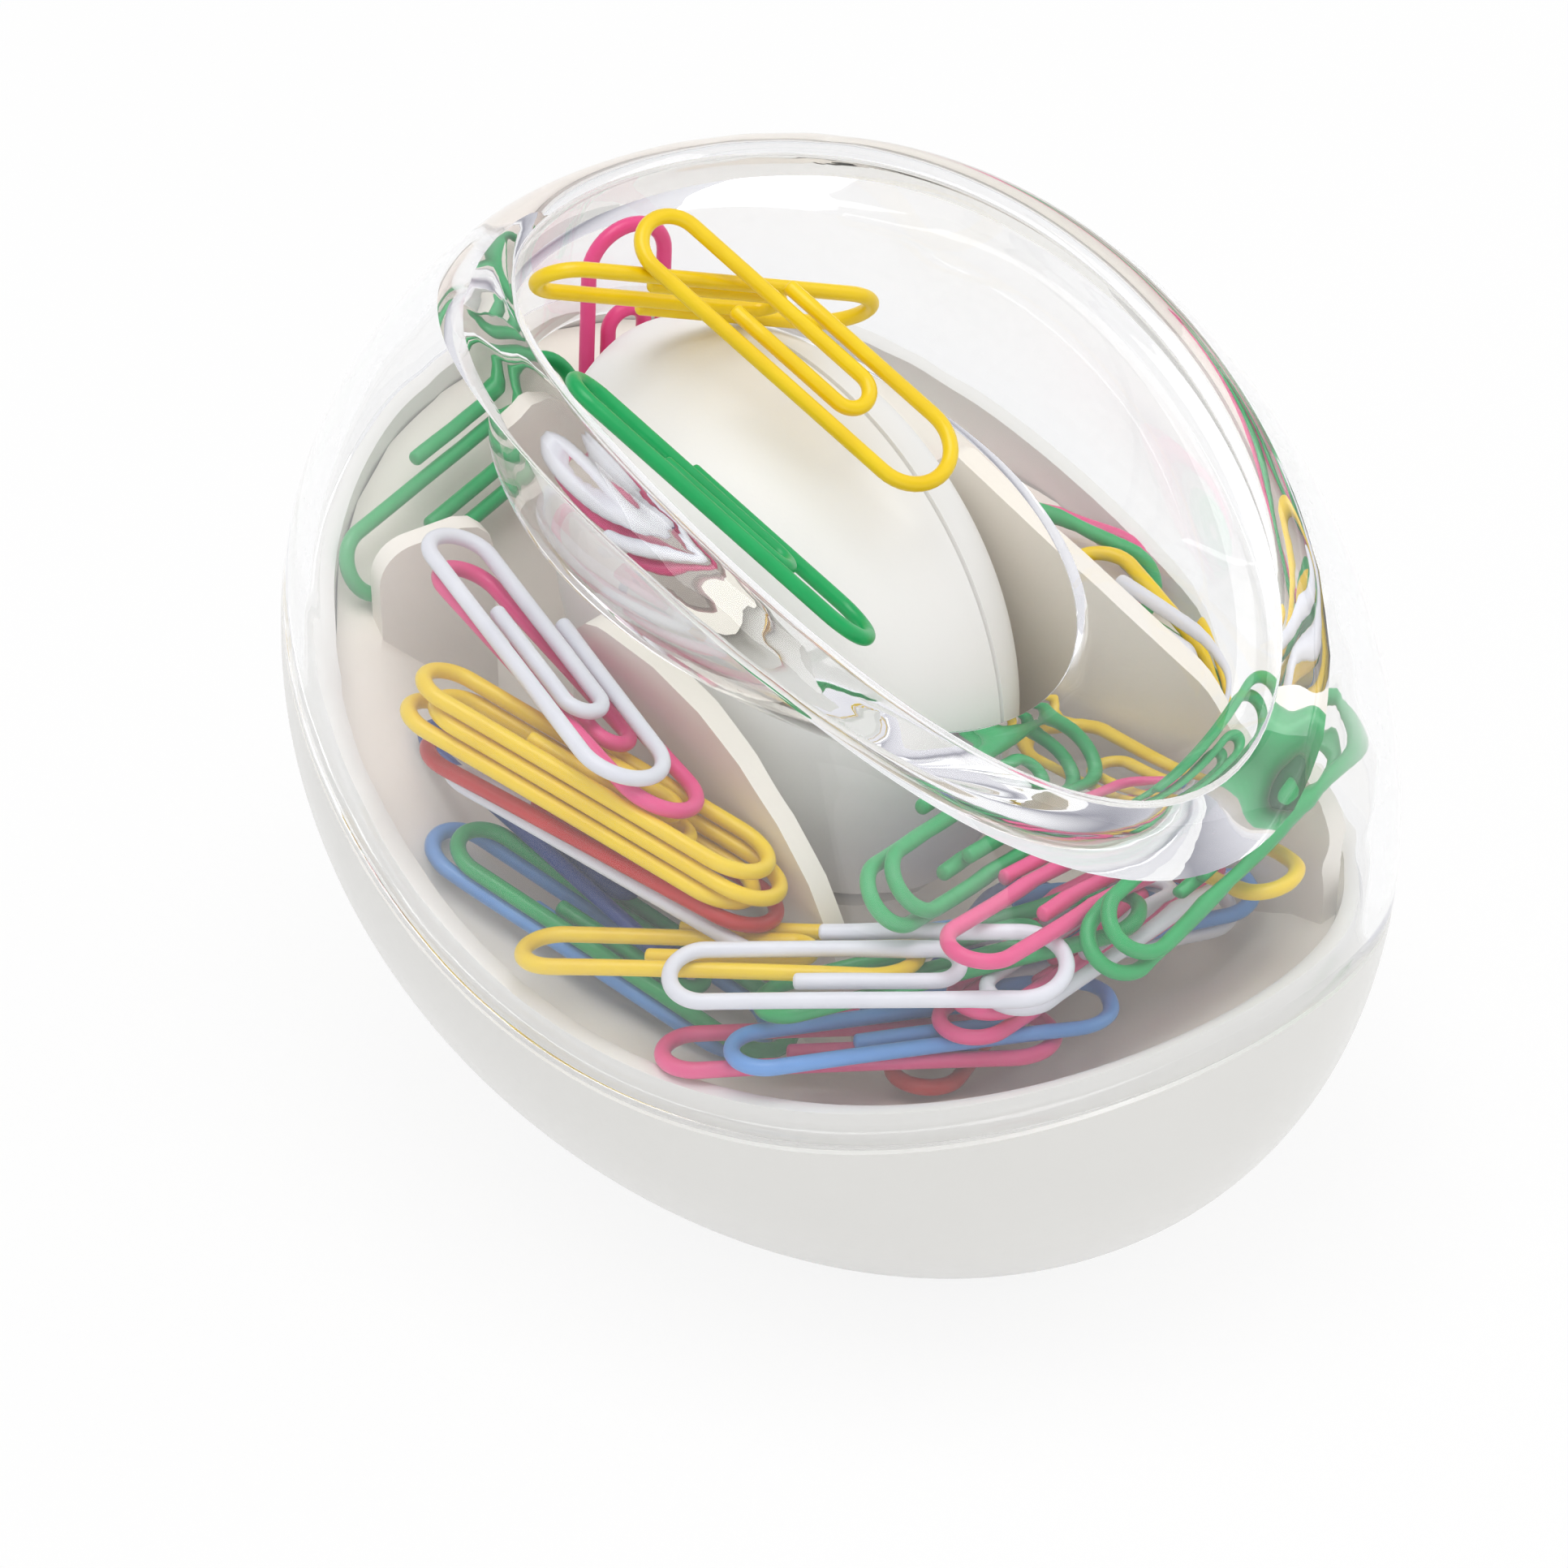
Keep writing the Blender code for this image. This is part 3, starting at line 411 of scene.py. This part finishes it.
# %% Bend the wire
CLIP_LONG, CLIP_WIDE, WIRE = 28.5, 7.6, 1.15
STEP, INNER_PLAY = 1.6, 0.1
SIDES, TURN_STEPS = 16, 20
OUTER_END, INNER_TURN, INNER_END = 0.38, 0.73, 0.32
RUN = CLIP_LONG - WIRE
BIG = (CLIP_WIDE - WIRE) / 2
MIDDLE = (CLIP_WIDE - WIRE - STEP) / 2
SMALL = BIG - STEP - INNER_PLAY


def run_to(along):
    """Extrude the selected ring along the clip by this many millimetres, in three lengths."""
    for _ in range(3):
        bpy.ops.mesh.extrude_region_move(TRANSFORM_OT_translate={"value": (along / 3 * MM, 0, 0)})


def turn_round(along, across):
    """Spin the selected ring half a turn, clockwise, round a point of the clip's plane."""
    bpy.ops.mesh.spin(steps=TURN_STEPS, angle=math.pi, center=(along * MM, across * MM, 0), axis=(0, 0, 1))


def close_end(outward):
    """Draw the selected ring in and close it."""
    for far, share in ((0.16, 0.86), (0.10, 0.55)):
        bpy.ops.mesh.extrude_region_move(TRANSFORM_OT_translate={"value": (outward * far * MM, 0, 0)})
        bpy.ops.transform.resize(value=(1, share, share))
    bpy.ops.mesh.edge_face_add()


bpy.ops.object.select_all(action="DESELECT")
bpy.ops.mesh.primitive_circle_add(vertices=SIDES, radius=WIRE / 2 * MM, rotation=(0, math.pi / 2, 0),
                                  location=(RUN * OUTER_END * MM, 2 * BIG * MM, 0))
clip = bpy.context.object
clip.name = "clip_pattern"
bpy.ops.object.transform_apply(location=True, rotation=True, scale=True)
bpy.ops.object.mode_set(mode="EDIT")
bpy.ops.mesh.select_mode(type="EDGE")
bpy.ops.mesh.select_all(action="SELECT")
run_to(RUN * (1 - OUTER_END) - BIG)
turn_round(RUN - BIG, BIG)
run_to(-(RUN - BIG - MIDDLE))
turn_round(MIDDLE, MIDDLE)
run_to(RUN * INNER_TURN - SMALL - MIDDLE)
turn_round(RUN * INNER_TURN - SMALL, 2 * MIDDLE - SMALL)
run_to(-(RUN * (INNER_TURN - INNER_END) - SMALL))
close_end(-1)
bpy.ops.object.mode_set(mode="OBJECT")
print("clip so far, mm:", [round(v / MM, 2) for v in clip.dimensions], "triangles:", triangle_count(clip))

# %% [markdown]
# The first ring is still open. Its edges are the only open ones left on the wire, so they are picked as such.
# Then the doubles are merged, the normals are turned outwards, and the pattern is moved so
# that the middle of the clip is its origin, which makes it easy to place.

# %% Close the clip's first end
edit_mode(clip, "EDGE")
bpy.ops.mesh.select_non_manifold()
close_end(-1)
bpy.ops.mesh.select_all(action="SELECT")
bpy.ops.mesh.remove_doubles(threshold=0.001 * MM)
bpy.ops.mesh.normals_make_consistent(inside=False)
bpy.ops.transform.translate(value=(-RUN / 2 * MM, -BIG * MM, 0))
bpy.ops.object.mode_set(mode="OBJECT")
bpy.ops.object.shade_smooth_by_angle(angle=math.radians(50))
print("clip, mm:", [round(v / MM, 2) for v in clip.dimensions], "triangles:", triangle_count(clip))

# %% [markdown]
# ## Clips in their places
# A clip's place is a middle point and two directions, along it and across it. A matrix made of these
# moves a copy's mesh, so that the object itself stays at the origin. The CAD nodes say where their clips
# are: the thinnest direction of a node's points is the clip's normal, the narrowest box round them gives
# the other two, and of the four ways round, the one whose wire lies nearest to the points is right.

# %% Read a clip's place from its CAD node
SAMPLE_STEP = 7
pattern_points = np.array([v.co for v in clip.data.vertices])


def narrowest_turn(flat):
    """The angle, in degrees, by which flat points lie in their narrowest box."""
    def width(degrees):
        a = math.radians(degrees)
        return np.ptp(flat @ [-math.sin(a), math.cos(a)])
    best = min(range(-90, 90, 3), key=width)
    return min(np.arange(best - 3, best + 3, 0.1), key=width)


def clip_frame(node):
    """The matrix that lays the clip pattern on a CAD clip."""
    points = np.array([v.co for v in frame["nodes"][node].data.vertices])
    middle = points.mean(0)
    _, _, axes = np.linalg.svd(points - middle, full_matrices=False)
    turn = math.radians(narrowest_turn((points - middle) @ axes[:2].T))
    along = axes[0] * math.cos(turn) + axes[1] * math.sin(turn)
    across = np.cross(axes[2], along)
    tree = KDTree(len(points))
    for i, point in enumerate(points):
        tree.insert(point, i)
    tree.balance()
    best = None
    for s, t in ((1, 1), (1, -1), (-1, 1), (-1, -1)):
        basis = np.array([along * s, across * t, np.cross(along * s, across * t)]).T
        local = (points - middle) @ basis
        centre = middle + basis @ ((local.max(0) + local.min(0)) / 2)
        sample = pattern_points[::SAMPLE_STEP] @ basis.T + centre
        miss = np.mean([tree.find(point)[2] for point in sample])
        if best is None or miss < best[0]:
            best = (miss, Matrix.LocRotScale(Vector(centre), Matrix(basis), None))
    return best


misses = {node: clip_frame(node) for node in frame["nodes"] if "_clip_" in node}
largest_miss = max(miss for miss, _ in misses.values())
print("clips read:", len(misses), "largest mean miss in mm:", round(largest_miss / MM, 2))

# %% [markdown]
# Each CAD clip's colour is in the name of its material, and its body is known to the frame, so one loop
# lays a copy of the pattern on every clip. A copy has its own mesh, moved to its place, because a finished
# piece keeps its object at the origin. The pattern itself isn't part of the holder and is removed.


# %% Lay copies of the pattern on the CAD clips
def lay_clip(name, colour, matrix, body):
    """A copy of the pattern, its mesh moved to its place."""
    piece = bpy.data.objects.new(name, clip.data.copy())
    bpy.context.scene.collection.objects.link(piece)
    piece.data.transform(matrix)
    put_on(piece, VINYLS[colour])
    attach(piece, body)
    return piece


def node_colour(node):
    """The colour that a CAD clip has in the record's material slots."""
    return frame["nodes"][node].data.materials[0].name.split("clip_")[-1].split(".")[0]


laid = []
for node, (_, matrix) in sorted(misses.items()):
    piece = lay_clip("wire_" + node, node_colour(node), matrix, frame["nodes"][node]["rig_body"])
    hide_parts(node)
    laid.append(piece)
print("clips laid:", len(laid), "triangles:", sum(triangle_count(piece) for piece in laid))
bpy.data.objects.remove(clip)

# %% [markdown]
# ## The parts out of sight
# The weight in the foot, the four screws, the magnet in the tip and its carrier keep their CAD shapes, which
# are plain turned ones. They still get their own finishes. Metal is a Principled shader with Metallic at
# one. Its colour is that of its reflections, and turning or tumbling leaves marks that spread them.


# %% Finish the metal parts
def metal(name, light, dark, gloss, mark_mm, mark_depth_mm, stretch=(1, 1, 1)):
    """A bare or plated metal between two near colours, with marks of a size and depth."""
    finish = Finish(name, Metallic=1.0)
    finish.feed(Base_Color=finish.blend(finish.noise(3.0, detail=4.0), light, dark))
    finish.feed(Roughness=finish.noise(1.2, detail=3.0) * 0.2 + gloss)
    finish.feed(Normal=finish.bump(finish.noise(mark_mm, detail=3.0, stretch=stretch), mark_depth_mm))
    return finish


def refinish(node, finish):
    """Give a CAD node that stays a better material, in the slots that it has."""
    for slot in frame["nodes"][node].material_slots:
        slot.material = finish.material


weight_steel = metal("zinc_on_steel", (0.62, 0.62, 0.63, 1), (0.48, 0.48, 0.50, 1), 0.28, 0.5, 0.02,
                     stretch=(1, 1, 6))
screw_steel = metal("screw_zinc", (0.66, 0.65, 0.60, 1), (0.50, 0.49, 0.46, 1), 0.2, 0.25, 0.01)
magnet_nickel = metal("magnet_nickel", (0.70, 0.68, 0.64, 1), (0.58, 0.56, 0.53, 1), 0.12, 0.3, 0.003)
refinish("base_weight", weight_steel)
refinish("tip_magnet", magnet_nickel)
for node in ("post_screw", "tray_screw_1", "tray_screw_2", "tray_screw_3"):
    refinish(node, screw_steel)
print("metal finishes: weight, magnet and 4 screws")

# %% [markdown]
# The carrier is the same plastic as the post, from a rougher mould. The foot pad is black rubber: dark,
# never quite black, with dusty patches and a fine matt grain.

# %% Finish the carrier and the foot pad
carrier_white = white_plastic("white_carrier", (0.80, 0.79, 0.76, 1), (0.74, 0.73, 0.70, 1), 0.55, 0.4, 0.03)
refinish("magnet_carrier", carrier_white)
rubber = Finish("foot_rubber", Specular_IOR_Level=0.35)
rubber.feed(Base_Color=rubber.blend(rubber.noise(5.0, detail=5.0), (0.030, 0.030, 0.031, 1),
                                    (0.060, 0.059, 0.058, 1)))
rubber.feed(Roughness=rubber.noise(2.0, detail=3.0) * 0.2 + 0.65)
rubber.feed(Normal=rubber.bump(rubber.noise(0.3, detail=4.0), 0.05))
refinish("foot_pad", rubber)
print("rubber nodes:", len(rubber.tree.nodes))

# %% [markdown]
# ## The paper under it
# The holder stands on white paper in plain light. Seen by the camera, or in a reflection or through the
# clear plastic, most of the paper's white is its own emission at a strength of one, which is exactly white.
# The rest is a real matt surface, so that the holder's shadow still falls on it. Light that bounces
# from surface to surface meets the matt paper only.

# %% Lay the paper
PAPER_WHITE, PAPER_WHITE_DEEP = (0.86, 0.86, 0.86, 1.0), (0.85, 0.85, 0.85, 1.0)
PAPER_GLOW_SHARE = 0.88
PAPER_SIDE = 6.0

bpy.ops.object.select_all(action="DESELECT")
bpy.ops.mesh.primitive_plane_add(size=PAPER_SIDE, location=(0, 0, 0))
floor = bpy.context.object
floor.name = "floor"
paper = Finish("paper", Roughness=0.9)
paper.feed(Base_Color=paper.blend(paper.noise(40.0, detail=3.0), PAPER_WHITE, PAPER_WHITE_DEEP))


def shown(graph):
    """One for rays that show a surface: from the camera, by reflection or through something clear."""
    return (graph.read("ShaderNodeLightPath", "Is Camera Ray")
            + graph.read("ShaderNodeLightPath", "Is Glossy Ray")
            + graph.read("ShaderNodeLightPath", "Is Transmission Ray"))


glow = paper.node("ShaderNodeEmission", {}, {"Color": (1, 1, 1, 1), "Strength": 1.0})
paper.put(paper.end, paper.node("ShaderNodeMixShader", {}, {
    0: shown(paper) * PAPER_GLOW_SHARE, 1: paper.plastic, 2: glow}))
put_on(floor, paper)
print("paper:", [round(side, 2) for side in floor.dimensions[:2]], "m")

# %% [markdown]
# ## The light of the room
# The world gives the soft light of a white tent. What the clear plastic shows of it is another matter: a
# tent that is white all round would leave the lip invisible, so the part of the world that is seen turns a
# little grey overhead, and the bends in the lip pick that up as soft grey lines. A ramp over the direction's
# height makes this change, and a Light Path node keeps it to the rays that show something.

# %% Light the world
LIGHT_STRENGTH, LIGHT_COLOUR = 0.70, (1.0, 0.995, 0.985, 1.0)
OVERHEAD_GREYS = ((0.0, (1.0, 1.0, 1.0, 1)), (0.18, (0.95, 0.95, 0.97, 1)), (0.42, (0.30, 0.30, 0.35, 1)),
                  (0.70, (0.72, 0.72, 0.77, 1)), (1.0, (0.90, 0.90, 0.93, 1)))

world = bpy.data.worlds.new("tent")
bpy.context.scene.world = world
world.use_nodes = True
tent = Graph(world.node_tree)
height = tent.node("ShaderNodeSeparateXYZ", {}, {0: tent.read("ShaderNodeTexCoord", "Generated")}, output="Z")
greys = tent.node("ShaderNodeValToRGB", {"stops": OVERHEAD_GREYS}, {"Fac": height}, output="Color")
seen_tent = tent.node("ShaderNodeBackground", {}, {"Color": greys, "Strength": 1.0})
light_tent = tent.node("ShaderNodeBackground", {}, {"Color": LIGHT_COLOUR, "Strength": LIGHT_STRENGTH})
tent.put(world.node_tree.nodes["World Output"].inputs["Surface"], tent.node("ShaderNodeMixShader", {}, {
    0: shown(tent), 1: light_tent, 2: seen_tent}))
world.node_tree.nodes.remove(world.node_tree.nodes["Background"])
print("world nodes:", len(world.node_tree.nodes))

# %% [markdown]
# ## The lamps
# Three large square lamps shape the forms: a soft one from above gives the post its round shading, one from
# the right and one from the front fill the sides. Large lamps give soft shadows, and a low power keeps the
# white plastic from washing out.

# %% Set the lamps
LAMP_SIDE = 0.7
LAMP_AIM = Vector((0, 0, 0.03))
LAMPS = {
    "top_lamp": ((-0.15, -0.05, 1.0), 4.3),
    "right_lamp": ((0.75, -0.35, 0.55), 1.2),
    "front_lamp": ((-0.75, -0.95, 0.35), 1.2),
}

for name, (place, power) in LAMPS.items():
    data = bpy.data.lights.new(name, "AREA")
    data.size, data.energy = LAMP_SIDE, power
    lamp = bpy.data.objects.new(name, data)
    bpy.context.scene.collection.objects.link(lamp)
    lamp.location = place
    lamp.rotation_euler = (LAMP_AIM - Vector(place)).to_track_quat("-Z", "Y").to_euler()
bpy.context.scene.view_settings.view_transform = "Standard"
